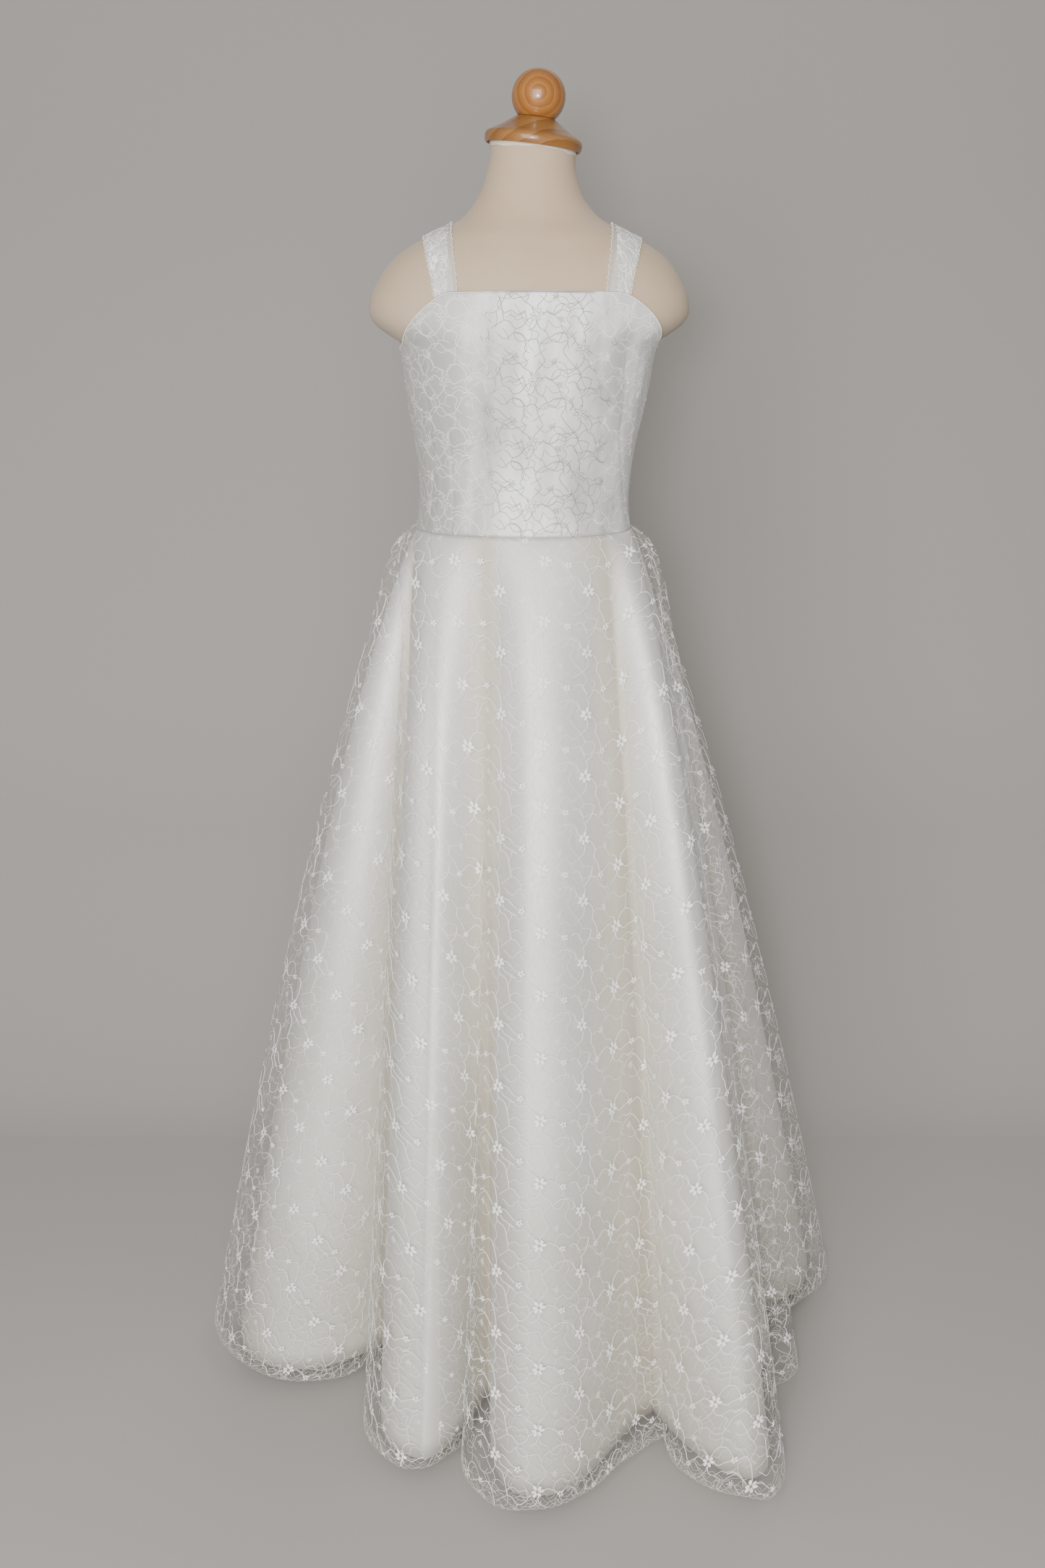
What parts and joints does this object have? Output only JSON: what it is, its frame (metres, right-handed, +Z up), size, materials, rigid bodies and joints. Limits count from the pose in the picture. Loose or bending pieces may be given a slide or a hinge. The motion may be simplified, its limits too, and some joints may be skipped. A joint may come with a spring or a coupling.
{
  "type": "flower girl dress on a dress form",
  "caption": "Floor-length sleeveless girl's dress, a flared satin skirt under a sheer embroidered net over-skirt, on a limbless form with a round base.",
  "frame": {"origin": "centre of the round base's underside, on the floor", "axes": "+Z up, -Y the front of the dress, +X the viewer's right when facing the front"},
  "size_m": [0.6632, 0.675, 1.2367],
  "materials": {
    "jersey": "matte",
    "honey_wood": "varnished",
    "painted_steel": "satin",
    "ivory_satin": "satin sheen",
    "embroidered_net": "sheer net with matt embroidery",
    "zip_metal": "polished"
  },
  "bodies": {
    "dressed_form": {"form_torso": "jersey", "neck_cap": "honey_wood", "finial_ball": "honey_wood", "stand_base": "honey_wood", "stand_pole": "painted_steel", "bodice_front": "embroidered_net", "bodice_back_right": "embroidered_net", "bodice_back_left": "embroidered_net", "strap_left": "embroidered_net", "strap_right": "embroidered_net", "skirt_front": "ivory_satin", "skirt_back_right": "ivory_satin", "skirt_back_left": "ivory_satin", "overskirt_front": "embroidered_net", "overskirt_back_right": "embroidered_net", "overskirt_back_left": "embroidered_net", "zip_slider": "zip_metal"},
    "zip_pull": {"zip_pull_tab": "zip_metal"}
  },
  "joints": [
    {"name": "zip_pull_hinge", "type": "hinge", "parent": "dressed_form", "child": "zip_pull", "pos_m": [0.00055, 0.08732, 1.022], "axis": [1, 0, 0], "range_deg": [0, 140]}
  ]
}
